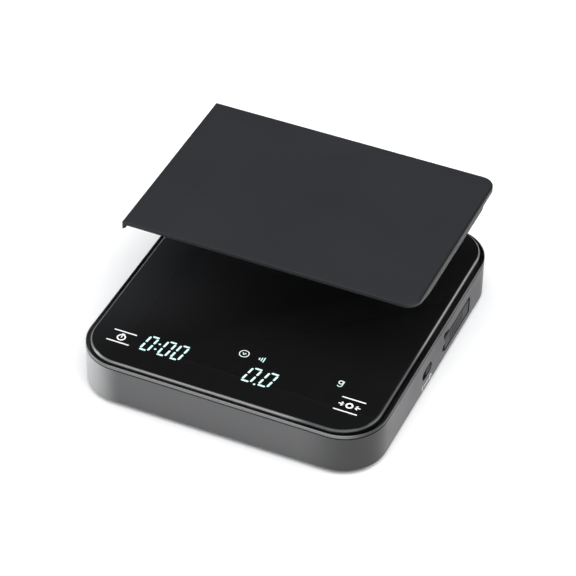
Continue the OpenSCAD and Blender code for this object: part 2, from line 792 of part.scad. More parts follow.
module timer_digits() { color(glow) raised(glass_z - 1, glass_z) timer_shape(); }
module weight_digits() { color(glow) raised(glass_z - 1, glass_z) weight_shape(); }
module status_lights() { color(glow) raised(glass_z - 1, glass_z) status_shape(); }

// Ribbed sleeve that carries the touch signal from the board to the glass
module touch_pad(s) {
    sleeve_r = 2.4;
    pitch = 0.5;
    color([0.85, 0.7, 0.35]) translate([s * key_x, key_y, 0]) difference() {
        union() {
            rod(sleeve_r, display_z, glass_z);
            rod(4, glass_z - 0.4, glass_z);
            for (i = [0:4]) rod(sleeve_r + 0.6, display_z + i * pitch, display_z + (i + 0.5) * pitch);
        }
        rod(sleeve_r - 0.5, display_z - eps, glass_z - 0.4);
    }
}

module timer_touch_pad() { touch_pad(-1); }
module tare_touch_pad() { touch_pad(1); }

module display_screws() {
    color(steel) for (i = display_holes)
        translate([i, display_hole_y, 0]) mirror([0, 0, 1])
            screw(-(display_z - board_t - 1.1), m2, m2_head, 1.1, board_t + 1.4);
}

module cell_platform_screws() {
    color(steel) for (s = [0, cell_screw_gap])
        translate([cell_screw_x + 2 - s, cell_y, 0])
            screw(tray_top - 0.3, m3, m3_head, 1.7, tray_top - 2 - cell_z - 2);
}

// printed on the underside of the glass
module key_marks() { color("white") raised(glass_z, glass_z + mark_t) key_shape(); }

// ---------- loose and moving pieces ----------

// Outline of the mat, with sharp left corners and round right corners
module mat_shape() {
    depth = mat_rear - mat_front;
    translate([-mat_x, mat_front]) square([2 * mat_x - mat_r, depth]);
    translate([0, mat_front + mat_r]) square([mat_x, depth - 2 * mat_r]);
    for (y = [mat_front + mat_r, mat_rear - mat_r]) translate([mat_x - mat_r, y]) circle(mat_r);
}

module mat() {
    depth = mat_rear - mat_front;
    top = mat_z + mat_t;
    color(charcoal) difference() {
        union() {
            translate([0, 0, mat_z]) linear_extrude(mat_t) mat_shape();
            // side lips; the right one follows the round front corner
            box(-mat_x, -mat_x + lip_t, mat_front, lip_end, mat_z - lip_drop, mat_z + eps);
            translate([0, 0, mat_z - lip_drop]) linear_extrude(lip_drop + eps) intersection() {
                mat_shape();
                translate([mat_x - lip_t, mat_front]) square([lip_t, lip_end - mat_front]);
            }
            // skirt from the right lip round the rear corner, clear of the rim ring
            translate([0, 0, mat_z - skirt_drop]) linear_extrude(skirt_drop + eps) {
                translate([mat_x - lip_t, 0]) square([lip_t, mat_rear - mat_r]);
                translate([mat_x - mat_r, mat_rear - mat_r]) intersection() {
                    difference() {
                        circle(mat_r);
                        circle(mat_r - lip_t);
                    }
                    square(mat_r);
                }
            }
        }
        // rounded upper edges at left and right
        for (m = [0, 1]) mirror([m, 0, 0]) translate([mat_x, mat_rear + 1, top]) rotate([90, 0, 0])
            linear_extrude(depth + 2) difference() {
                translate([-mat_edge_r, -mat_edge_r]) square(mat_edge_r + eps);
                translate([-mat_edge_r, -mat_edge_r]) circle(mat_edge_r, $fn = 32);
            }
    }
}

module port_cover() {
    front = port_y - recess_len / 2 + clear;
    low = port_height - recess_h / 2 + clear;
    high = port_height + recess_h / 2 - finger_gap;
    rib = 0.15;
    face = body_x - rib;
    mid = (low + high) / 2;
    color([0.25, 0.25, 0.26]) difference() {
        union() {
            // flap with a soft outline
            side_shape((front + hinge_y) / 2, mid, hinge_y - front, high - low, 1.2, face - cover_t, face);
            // hinge barrel
            translate([hinge_x, hinge_y, 0]) rod(barrel_r, low, high);
            // plug that closes the socket
            side_shape(port_y, port_height, port_w - 1.6, port_h - 1.4, 0.8, face - cover_t - 1.1,
                       face - cover_t + eps);
            // raised ribs on the flap
            for (i = [0:6])
                side_shape(port_y - 7 + 2.2 * i, mid - 0.2, 0.9, 4.2, 0.4, face - eps, face + rib);
        }
        translate([hinge_x, hinge_y, 0]) rod(cover_pin_r + 0.05, low - 1, high + 1);
        // the flap ends at the hinge barrel
        translate([hinge_x, hinge_y, 0]) difference() {
            box(-4, 4, 0, 4, low - 1, high + 1);
            rod(barrel_r, low - 2, high + 2);
        }
        // finger cut at the free corner
        side_shape(front, low, 3.2, 3.2, 1.2, face - 4, face + 1);
    }
}

module switch_knob() {
    stem_x = body_x - wall_t - 2.2;
    color(black) {
        side_shape(knob_y, slot_z, knob_len, knob_h, knob_h / 2 - 0.4, body_x - wall_t + 0.1, body_x - 0.5);
        // ribs for the finger
        for (i = [-2:2])
            side_shape(knob_y + 0.95 * i, slot_z, 0.5, knob_h - 1.2, 0.2, body_x - 0.5 - eps, body_x - 0.05);
        box(stem_x, body_x - wall_t + 0.2, knob_y - 1, knob_y + 1, slot_z - 0.8, slot_z + 0.8);
    }
}

housing();
rim_ring();
bottom_cover();
foot_front_left();
foot_front_right();
foot_rear_left();
foot_rear_right();
bottom_screws();
load_cell();
cell_potting();
cell_base_screws();
stop_screws();
main_board();
board_screws();
board_chips();
charging_socket();
switch_body();
sounder();
lead_sockets();
battery();
battery_pad();
battery_lead();
cell_lead();
display_ribbon();
cover_pin();
switch_marks();
platform_tray();
platform_frame();
glass_panel();
glass_tape();
display_board();
light_mask();
timer_digits();
weight_digits();
status_lights();
timer_touch_pad();
tare_touch_pad();
display_screws();
cell_platform_screws();
key_marks();
mat();
port_cover();
switch_knob();
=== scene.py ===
# %% [markdown]
# # A flat timer scale with its mat lifted
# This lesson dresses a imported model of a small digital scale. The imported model
# already holds every part at its real size and place, so each new piece asks the
# model where its part lies and is built there. Only the signs on the glass have
# places of their own, given in mm where they are drawn.
# Everything is in metres, with the ground at Z = 0 and the rear at +Y.

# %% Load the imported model
import math

import bmesh
import bpy
from mathutils import Matrix, Vector


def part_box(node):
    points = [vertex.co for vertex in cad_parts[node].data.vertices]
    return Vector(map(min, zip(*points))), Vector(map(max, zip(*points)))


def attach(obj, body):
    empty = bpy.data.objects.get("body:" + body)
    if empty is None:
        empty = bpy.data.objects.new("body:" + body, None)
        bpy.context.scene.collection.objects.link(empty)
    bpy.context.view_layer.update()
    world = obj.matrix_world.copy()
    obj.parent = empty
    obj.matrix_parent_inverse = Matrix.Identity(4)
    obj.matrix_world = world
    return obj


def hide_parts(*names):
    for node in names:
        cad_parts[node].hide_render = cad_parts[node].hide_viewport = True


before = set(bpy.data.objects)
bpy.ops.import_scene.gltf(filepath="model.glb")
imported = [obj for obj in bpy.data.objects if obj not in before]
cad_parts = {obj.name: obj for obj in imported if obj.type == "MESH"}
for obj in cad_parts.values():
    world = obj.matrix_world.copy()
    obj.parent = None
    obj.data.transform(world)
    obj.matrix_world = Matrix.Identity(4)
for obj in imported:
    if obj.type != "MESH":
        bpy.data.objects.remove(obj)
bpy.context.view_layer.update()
MM = 0.001

# %% [markdown]
# ## Camera
# A long lens far away keeps the sides of the scale almost parallel. The camera
# stands in front and to the right, and looks down at forty degrees, so the glass,
# the front wall and a sliver of the right wall all show. Three plain angles turn
# it: round the upright axis, down from the horizon, and about its own line of sight.

# %% Camera
CAMERA_SPOT = (0.3379, -0.7844, 0.7427)
CAMERA_TURN, CAMERA_DROP, CAMERA_ROLL = (math.radians(a) for a in (23.34, 40.06, 1.03))

camera_lens = bpy.data.cameras.new("camera")
camera_lens.lens = 170.2
camera_lens.sensor_width = 36.0
camera = bpy.data.objects.new("camera", camera_lens)
bpy.context.scene.collection.objects.link(camera)
camera.matrix_world = (
    Matrix.Translation(CAMERA_SPOT)
    @ Matrix.Rotation(CAMERA_TURN, 4, "Z")
    @ Matrix.Rotation(math.pi / 2 - CAMERA_DROP, 4, "X")
    @ Matrix.Rotation(CAMERA_ROLL, 4, "Z")
)
bpy.context.scene.camera = camera
bpy.context.scene.view_settings.view_transform = "Standard"
print("camera looks along", [round(v, 3) for v in -camera.matrix_world.col[2].xyz])

# %% [markdown]
# ## Floor and light
# A product like this is shown on a plain white sweep. The floor is one pale
# sheet. Most of the light is a broad soft panel overhead, with a smaller one low on
# the left for the corner there, and one on the right to soften the shadow. Black glass mirrors whatever is behind it, so
# the room is kept dim there, as a studio does with a black card, and bright
# elsewhere. The camera itself sees the room as plain white.

# %% Floor and light
def link_new(thing, name):
    """Puts new data into the scene as an object."""
    made = bpy.data.objects.new(name, thing)
    bpy.context.scene.collection.objects.link(made)
    return made


def mesh_object(name, verts, faces):
    mesh = bpy.data.meshes.new(name)
    mesh.from_pydata(verts, [], faces)
    mesh.update()
    return link_new(mesh, name)


FLOOR_REACH = 0.8
floor = mesh_object(
    "floor",
    [(x, y, 0) for x, y in ((-1, -1), (1, -1), (1, 1), (-1, 1))],
    [(0, 1, 2, 3)],
)
floor.data.transform(Matrix.Scale(FLOOR_REACH, 4))


def panel_light(name, spot, aim, size, watts):
    """A soft square panel of light, turned to face a point."""
    panel = bpy.data.lights.new(name, "AREA")
    panel.shape, panel.size, panel.energy = "SQUARE", size, watts
    lamp = link_new(panel, name)
    lamp.location = spot
    lamp.rotation_euler = (Vector(aim) - Vector(spot)).to_track_quat("-Z", "Y").to_euler()
    lamp.visible_camera = False
    return lamp


panel_light("overhead_panel", (0.1, -0.3, 1.6), (0, 0, 0), 2.2, 35)
panel_light("left_panel", (-1.3, -0.5, 0.35), (0, 0, 0), 0.5, 5)
panel_light("right_panel", (1.0, 0.6, 0.9), (0.1, 0, 0), 1.2, 9)

world = bpy.data.worlds.new("studio")
bpy.context.scene.world = world
world.use_nodes = True
room = world.node_tree
room.nodes.clear()


def add_node(tree, kind, **settings):
    """Adds a node. Settings name either a property of the node or one of its sockets."""
    made = tree.nodes.new(kind)
    for key, value in settings.items():
        if hasattr(made, key):
            setattr(made, key, value)
        else:
            made.inputs[key.replace("_", " ")].default_value = value
    return made


DARK_SIDE = Vector((-0.30, 0.72, 0.62)).normalized()
ROOM_DIM, ROOM_BRIGHT, ROOM_WHITE = (0.03, 0.031, 0.032, 1), (0.75, 0.76, 0.78, 1), (1, 1, 1, 1)
room_way = add_node(room, "ShaderNodeTexCoord")
room_dot = add_node(room, "ShaderNodeVectorMath", operation="DOT_PRODUCT")
room_dot.inputs[1].default_value = DARK_SIDE
room_edge = add_node(room, "ShaderNodeMapRange", interpolation_type="SMOOTHSTEP")
room_edge.inputs["From Min"].default_value = 0.45
room_edge.inputs["From Max"].default_value = 0.92
room_mix = add_node(room, "ShaderNodeMix", data_type="RGBA")
room_mix.inputs[6].default_value = ROOM_BRIGHT
room_mix.inputs[7].default_value = ROOM_DIM
seen = add_node(room, "ShaderNodeLightPath")
room_seen = add_node(room, "ShaderNodeMix", data_type="RGBA")
room_seen.inputs[7].default_value = ROOM_WHITE
room_out = add_node(room, "ShaderNodeBackground")
room_end = add_node(room, "ShaderNodeOutputWorld")
for a, b in (
    (room_way.outputs["Generated"], room_dot.inputs[0]),
    (room_dot.outputs["Value"], room_edge.inputs["Value"]),
    (room_edge.outputs["Result"], room_mix.inputs[0]),
    (room_mix.outputs[2], room_seen.inputs[6]),
    (seen.outputs["Is Camera Ray"], room_seen.inputs[0]),
    (room_seen.outputs[2], room_out.inputs["Color"]),
    (room_out.outputs[0], room_end.inputs["Surface"]),
):
    room.links.new(a, b)

# %% [markdown]
# ## One grain for every finish
# No real surface has one even colour. A moulded, painted or rubber skin shows two
# things: slow patches, where it is a little lighter or glossier, and a fine
# grain that breaks up its reflections. Both come from noise measured in the
# object's own metres, so they are built once as a group and every finish places
# that group with its own sizes and colours.

# %% Surface grain group
def grain_group():
    tree = bpy.data.node_groups.new("surface_grain", "ShaderNodeTree")
    for name, kind in (
        ("Tone A", "NodeSocketColor"),
        ("Tone B", "NodeSocketColor"),
        ("Patch Scale", "NodeSocketFloat"),
        ("Grain Scale", "NodeSocketFloat"),
        ("Rough Low", "NodeSocketFloat"),
        ("Rough High", "NodeSocketFloat"),
        ("Stretch", "NodeSocketVector"),
    ):
        tree.interface.new_socket(name, in_out="INPUT", socket_type=kind)
    for name, kind in (
        ("Color", "NodeSocketColor"),
        ("Roughness", "NodeSocketFloat"),
        ("Height", "NodeSocketFloat"),
    ):
        tree.interface.new_socket(name, in_out="OUTPUT", socket_type=kind)
    given = add_node(tree, "NodeGroupInput")
    given_out = add_node(tree, "NodeGroupOutput")
    where = add_node(tree, "ShaderNodeTexCoord")
    stretch = add_node(tree, "ShaderNodeVectorMath", operation="MULTIPLY")
    patches = add_node(tree, "ShaderNodeTexNoise", Detail=3.0, Roughness=0.55)
    grains = add_node(tree, "ShaderNodeTexNoise", Detail=2.0, Roughness=0.6)
    tone = add_node(tree, "ShaderNodeMix", data_type="RGBA")
    both = add_node(tree, "ShaderNodeMath", operation="MULTIPLY_ADD")
    both.inputs[1].default_value = 0.35
    rough = add_node(tree, "ShaderNodeMapRange")
    rough.inputs["From Min"].default_value = 0.5
    rough.inputs["From Max"].default_value = 0.85
    for a, b in (
        (where.outputs["Object"], stretch.inputs[0]),
        (given.outputs["Stretch"], stretch.inputs[1]),
        (stretch.outputs[0], patches.inputs["Vector"]),
        (stretch.outputs[0], grains.inputs["Vector"]),
        (given.outputs["Patch Scale"], patches.inputs["Scale"]),
        (given.outputs["Grain Scale"], grains.inputs["Scale"]),
        (patches.outputs["Fac"], tone.inputs[0]),
        (given.outputs["Tone A"], tone.inputs[6]),
        (given.outputs["Tone B"], tone.inputs[7]),
        (grains.outputs["Fac"], both.inputs[0]),
        (patches.outputs["Fac"], both.inputs[2]),
        (both.outputs[0], rough.inputs["Value"]),
        (given.outputs["Rough Low"], rough.inputs["To Min"]),
        (given.outputs["Rough High"], rough.inputs["To Max"]),
        (tone.outputs[2], given_out.inputs["Color"]),
        (rough.outputs["Result"], given_out.inputs["Roughness"]),
        (grains.outputs["Fac"], given_out.inputs["Height"]),
    ):
        tree.links.new(a, b)
    return tree


surface_grain = grain_group()


def finish(name, tone_a, tone_b, rough, grain=1500, patch=45, bump=0.1, depth=0.02, stretch=(1, 1, 1), **sockets):
    """A finish from the shared grain: two tones, a range of roughness and a fine bump."""
    made = bpy.data.materials.new(name)
    made.use_nodes = True
    tree = made.node_tree
    skin = tree.nodes["Principled BSDF"]
    for key, value in sockets.items():
        skin.inputs[key.replace("_", " ")].default_value = value
    group = add_node(tree, "ShaderNodeGroup", node_tree=surface_grain)
    group.name = "grain"
    group.inputs["Tone A"].default_value = (*tone_a, 1)
    group.inputs["Tone B"].default_value = (*tone_b, 1)
    group.inputs["Patch Scale"].default_value = patch
    group.inputs["Grain Scale"].default_value = grain
    group.inputs["Rough Low"].default_value = rough[0]
    group.inputs["Rough High"].default_value = rough[1]
    group.inputs["Stretch"].default_value = stretch
    dent = add_node(tree, "ShaderNodeBump", Strength=bump, Distance=depth * MM)
    tree.links.new(group.outputs["Color"], skin.inputs["Base Color"])
    tree.links.new(group.outputs["Roughness"], skin.inputs["Roughness"])
    tree.links.new(group.outputs["Height"], dent.inputs["Height"])
    tree.links.new(dent.outputs[0], skin.inputs["Normal"])
    return made


def grey(value, tint=0.0):
    """A grey, with a little blue if tint is above 0."""
    return (value * (1 - tint), value, value * (1 + 2 * tint))


print("group sockets:", [s.name for s in surface_grain.interface.items_tree])

# %% [markdown]
# ## Outside finishes
# The body is gunmetal: a metal coating with a fine blasted grain, so it takes its
# brightness from the floor and fades into a broad glow on the corners. On top of
# that, a painted highlight lightens its left corner and painted shade darkens its
# right side, in the next cell. The bevel round the glass is a paler turned metal.
# The mat is silicone, almost black and very even, with a dusty sheen. The glass is
# polished and takes its depth from a nearly black print behind it.

# %% Outside finishes
finishes = {
    "housing_paint": finish("gunmetal", grey(0.108, 0.006), grey(0.12, 0.006), (0.3, 0.4),
                            grain=2600, patch=30, bump=0.12, Metallic=0.9),
    "rim_metal": finish("rim_satin", grey(0.17), grey(0.2), (0.26, 0.36),
                        grain=2200, patch=60, bump=0.06, Metallic=1.0),
    "frame_metal": finish("bevel_satin", grey(0.2), grey(0.23), (0.3, 0.42),
                          grain=2200, patch=60, bump=0.06, Metallic=1.0),
    "glass_black": finish("black_glass", grey(0.0048, 0.01), grey(0.0056, 0.01), (0.02, 0.05),
                          grain=900, patch=14, bump=0.0, IOR=1.5),
    "mat_silicone": finish("charcoal_silicone", grey(0.0125, 0.08), grey(0.014, 0.08), (0.5, 0.6),
                           grain=3000, patch=25, bump=0.15, IOR=1.41, Specular_IOR_Level=0.3,
                           Sheen_Weight=0.04, Sheen_Roughness=0.5),
    "flap_silicone": finish("flap_rubber", grey(0.02, 0.02), grey(0.028, 0.02), (0.45, 0.6),
                            grain=2600, patch=90, bump=0.2, Specular_IOR_Level=0.25),
    "knob_plastic": finish("knob_black", grey(0.006), grey(0.01), (0.35, 0.5), grain=2600, patch=120, bump=0.15),
    "foot_rubber": finish("foot_black", grey(0.016), grey(0.024), (0.6, 0.8), grain=1800, patch=150, bump=0.3),
    "print_white": finish("white_print", grey(0.72), grey(0.8), (0.4, 0.5), grain=3000, patch=200, bump=0.05),
}
print("outside finishes:", len(finishes))

# %% [markdown]
# ## Painted reflection in the glass, painted highlight and shade on the edges
# The black print under real glass is never quite black. Here a painted reflection
# lifts it softly towards the rear left corner, where the glass catches the light of
# the room. A mirrored lamp would give a hard edge, so the lift is painted into the
# print colour itself: a smooth ramp measured across the platform in its own metres.
# The same kind of ramp paints a highlight on the left corner of the metal coating and
# shade on its near right corner and right wall, painted shade on the right of the rim
# and the bevel, and painted shade on the mat's right side face, darker than its dusty top.

# %% Painted reflection, highlight and shade
def paint_light_ramp(material, way, start, end, tone):
    """Paints light or shade into a finish: blends its colour towards another tone along a direction, between two
    distances in metres.
    """
    tree = material.node_tree
    base = tree.nodes["Principled BSDF"].inputs["Base Color"]
    where = add_node(tree, "ShaderNodeTexCoord")
    along = add_node(tree, "ShaderNodeVectorMath", operation="DOT_PRODUCT")
    along.inputs[1].default_value = way
    ramp = add_node(tree, "ShaderNodeMapRange", interpolation_type="SMOOTHSTEP")
    ramp.inputs["From Min"].default_value = start
    ramp.inputs["From Max"].default_value = end
    blend = add_node(tree, "ShaderNodeMix", data_type="RGBA")
    blend.inputs[7].default_value = (*tone, 1)
    for a, b in (
        (where.outputs["Object"], along.inputs[0]),
        (along.outputs["Value"], ramp.inputs["Value"]),
        (ramp.outputs["Result"], blend.inputs[0]),
        (base.links[0].from_socket, blend.inputs[6]),
        (blend.outputs[2], base),
    ):
        tree.links.new(a, b)


for slot_name, way, start, end, tone in (
    # painted reflection: the glass print lifts towards the rear left
    ("glass_black", (-0.75, 0.66, 0), -0.012, 0.055, grey(0.024, 0.03)),
    # painted shade on the housing's near right corner
    ("housing_paint", (0.7, -0.7, 0), 0.072, 0.09, grey(0.05)),
    # painted shade on the housing's right wall
    ("housing_paint", (0.95, 0.3, 0), 0.044, 0.066, (0.042, 0.039, 0.045)),
    # painted highlight on the housing's left corner
    ("housing_paint", (-0.8, -0.6, 0), 0.076, 0.09, grey(0.5)),
    # painted shade on the right of the rim
    ("rim_metal", (1, 0, 0), 0.052, 0.063, grey(0.05)),
    # painted shade on the near right of the bevel
    ("frame_metal", (0.9, -0.44, 0), 0.055, 0.066, grey(0.075, 0.03)),
    # painted shade on the mat's right side face
    ("mat_silicone", (1, 0, 0), 0.0628, 0.0635, grey(0.003, 0.05)),
):
    paint_light_ramp(finishes[slot_name], way, start, end, tone)
    print("ramp added to", finishes[slot_name].name)

# %% [markdown]
# ## Lit signs
# The digits are light shining through slots in a mask, so on the real display they
# are brightest and whitest in the middle of a slot and fall off a little where the
# light source is further away. Here the glow is set as even emission, with the
# grain's fine noise mixing two cyans from place to place.

# %% Lit finish
def lit_finish(name, tone_a, tone_b):
    made = finish(name, grey(0.3), grey(0.35), (0.4, 0.5), grain=1200, patch=380, bump=0.0)
    tree = made.node_tree
    group = tree.nodes["grain"]
    skin = tree.nodes["Principled BSDF"]
    glow = add_node(tree, "ShaderNodeMix", data_type="RGBA")
    glow.inputs[6].default_value = (*tone_a, 1)
    glow.inputs[7].default_value = (*tone_b, 1)
    tree.links.new(group.outputs["Height"], glow.inputs[0])
    tree.links.new(glow.outputs[2], skin.inputs["Emission Color"])
    skin.inputs["Emission Strength"].default_value = 0.75
    return made


finishes["light_cyan"] = lit_finish("cyan_light", (0.42, 0.88, 0.84), (0.56, 0.98, 0.94))
print("lit finish ready")

# %% [markdown]
# ## Inside finishes
# The parts inside are only seen when the model is taken apart, but each still
# gets what it is made of: milled alloy for the load cell, solder mask on the
# boards, plated steel, foil on the battery, moulded plastic and soft foam.

# %% Inside finishes
finishes.update({
    "cover_plastic": finish("cover_moulded", grey(0.018), grey(0.023), (0.5, 0.65), grain=1600, patch=40, bump=0.35),
    "tray_plastic": finish("tray_moulded", grey(0.02), grey(0.026), (0.5, 0.65), grain=1600, patch=40, bump=0.3),
    "mask_black": finish("mask_moulded", grey(0.012), grey(0.015), (0.6, 0.7), grain=1800, patch=60, bump=0.2),
    "steel": finish("zinc_steel", grey(0.5), grey(0.6), (0.28, 0.42), grain=2400, patch=220, bump=0.1, Metallic=1.0),
    "cell_alloy": finish("milled_alloy", grey(0.62), grey(0.7), (0.25, 0.4), grain=2600, patch=90, bump=0.2,
                         stretch=(0.08, 1, 1), Metallic=1.0),
    "potting": finish("white_sealant", grey(0.68), grey(0.75), (0.3, 0.5), grain=500, patch=160, bump=0.4, depth=0.1),
    "board_green": finish("solder_mask", (0.012, 0.09, 0.035), (0.02, 0.14, 0.06), (0.2, 0.35), grain=700,
                          patch=260, bump=0.15),
    "chip_black": finish("chip_moulded", grey(0.015), grey(0.022), (0.45, 0.6), grain=2600, patch=200, bump=0.25),
    "connector_white": finish("socket_cream", (0.66, 0.62, 0.52), (0.72, 0.68, 0.58), (0.4, 0.5), grain=1800,
                              patch=200, bump=0.1),
    "battery_foil": finish("foil_pouch", grey(0.45), grey(0.55), (0.3, 0.5), grain=420, patch=90, bump=0.5,
                           depth=0.08, Metallic=0.9),
    "foam": finish("black_foam", grey(0.012), grey(0.03), (0.8, 0.95), grain=1900, patch=400, bump=0.8, depth=0.1),
    "lead_red": finish("red_sleeve", (0.4, 0.015, 0.01), (0.5, 0.02, 0.015), (0.3, 0.45), grain=900, patch=200),
    "lead_white": finish("white_sleeve", grey(0.6), grey(0.7), (0.3, 0.45), grain=900, patch=200),
    "spring_brass": finish("gold_plate", (0.6, 0.4, 0.14), (0.7, 0.48, 0.18), (0.25, 0.4), grain=2400, patch=200,
                           Metallic=1.0),
})
floor.data.materials.append(finish("white_sweep", grey(0.86), grey(0.88), (0.85, 0.95), grain=60, patch=2,
                                   bump=0.0, Specular_IOR_Level=0.1))

# %% [markdown]
# ## The lift-off mat
# The real mat is one soft moulding: a thin slab with a lip hanging down its left
# and right sides that hooks over the platform. It could be a box with a bevel, but
# the depth of its edge changes on the way round, so it is swept instead. A loop of
# points runs round the outline, each point knows how deep the edge hangs there,
# and one cross-section is laid at every point. The rings join into a single skin.

# %% Mat
def smooth_step(value, low, high):
    t = min(max((value - low) / (high - low), 0.0), 1.0)
    return t * t * (3 - 2 * t)


def walk_round(low, high, radii, step):
    """Points round a box in mm, with their inward directions. A radius of 0 keeps a corner sharp."""
    corners = [(low[0], low[1]), (high[0], low[1]), (high[0], high[1]), (low[0], high[1])]
    loop = []
    for turn, (corner, radius) in enumerate(zip(corners, radii)):
        start = math.radians(180 + 90 * turn)
        inward = Vector((-math.cos(start) + math.sin(start), -math.sin(start) - math.cos(start)))
        if radius == 0:
            loop.append((Vector(corner), inward))
        else:
            centre = Vector(corner) + inward * radius
            for i in range(13):
                way = Vector((math.cos(start + math.radians(7.5 * i)), math.sin(start + math.radians(7.5 * i))))
                loop.append((centre + way * radius, -way))
        following = corners[(turn + 1) % 4]
        here, there = loop[-1][0], Vector(following)
        side = (there - Vector(corner)).normalized()
        there = there - side * radii[(turn + 1) % 4]
        count = max(int((there - here).length / step), 1)
        straight_in = Vector((-side.y, side.x))
        loop += [(here.lerp(there, i / count), straight_in) for i in range(1, count)]
    return loop


def swept_edge(name, loop, rings, place=Matrix()):
    """A closed skin from a loop of points in mm. Each ring gives an inset and a height at a point."""
    skin = bmesh.new()
    rows = []
    for ring in rings:
        row = []
        for spot, inward in loop:
            inset, height = ring(spot)
            at = spot + inward * inset
            row.append(skin.verts.new(place @ (Vector((at.x, at.y, height)) * MM)))
        rows.append(row)
    skin.faces.new(rows[0])
    skin.faces.new(rows[-1][::-1])
    for upper, lower in zip(rows, rows[1:]):
        for i in range(len(loop)):
            j = (i + 1) % len(loop)
            skin.faces.new((upper[i], lower[i], lower[j], upper[j]))
    bmesh.ops.recalc_face_normals(skin, faces=skin.faces)
    mesh = bpy.data.meshes.new(name)
    skin.to_mesh(mesh)
    skin.free()
    mesh.shade_smooth()
    return link_new(mesh, name)


def in_mm(node):
    """The lowest and highest corner of a part, in mm."""
    return [Vector(corner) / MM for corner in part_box(node)]


def round_over(radius, top, steps=5):
    """Rings that roll an edge over from a flat top to an upright side."""
    turns = [math.radians(90 * i / steps) for i in range(steps + 1)]
    return [
        lambda spot, a=a: (radius * (1 - math.sin(a)), top - radius * (1 - math.cos(a)))
        for a in turns
    ]


mat_low, mat_high = in_mm("mat")
MAT_THICK, LIP_THICK, LIP_DROP, SKIRT_DROP, MAT_CORNER = 1.6, 1.0, 2.2, 0.9, 6.0
mat_under = mat_high.z - MAT_THICK
LIP_STOP = mat_high.y - 15.7


def edge_drop(spot):
    """How far the edge hangs under the slab: a lip on both sides, a skirt round the rear right corner."""
    on_right = smooth_step(spot.x, mat_high.x - 1.2, mat_high.x - 0.4)
    on_left = 1 - smooth_step(spot.x, mat_low.x, mat_low.x + 0.3)
    lip = 1 - smooth_step(spot.y, LIP_STOP - 0.6, LIP_STOP)
    on_right *= smooth_step(spot.y, mat_low.y + 2.0, mat_low.y + 16.0)
    skirt = smooth_step(spot.x, mat_high.x - MAT_CORNER, mat_high.x - MAT_CORNER + 1.5) * smooth_step(spot.y, 0, 1)
    return max(LIP_DROP * lip * max(on_right, on_left), SKIRT_DROP * skirt, 0.02)


mat_rings = round_over(0.4, mat_high.z) + [
    lambda spot: (0.0, mat_under - edge_drop(spot) + 0.01),
    lambda spot: (0.15, mat_under - edge_drop(spot)),
    lambda spot: (LIP_THICK - 0.1, mat_under - edge_drop(spot)),
    lambda spot: (LIP_THICK, mat_under),
]
silicone_mat = swept_edge(
    "silicone_mat", walk_round(mat_low, mat_high, (0, MAT_CORNER, MAT_CORNER, 0), 1.5), mat_rings
)
silicone_mat.data.materials.append(finishes["mat_silicone"])
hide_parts("mat")
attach(silicone_mat, "mat")
print("mat faces:", len(silicone_mat.data.polygons))

# %% [markdown]
# ## A dot pulled out into a stroke
# Digits, signs and finger ribs are all the same shape: a short bar with round
# ends. Geometry Nodes makes every one of them from a single point. The point
# carries how far the bar reaches and how wide it is. A round dot is set on the
# point, and then the half of the dot that faces along the reach is pushed one way
# and the other half the other way. The ends stay truly round at any length.

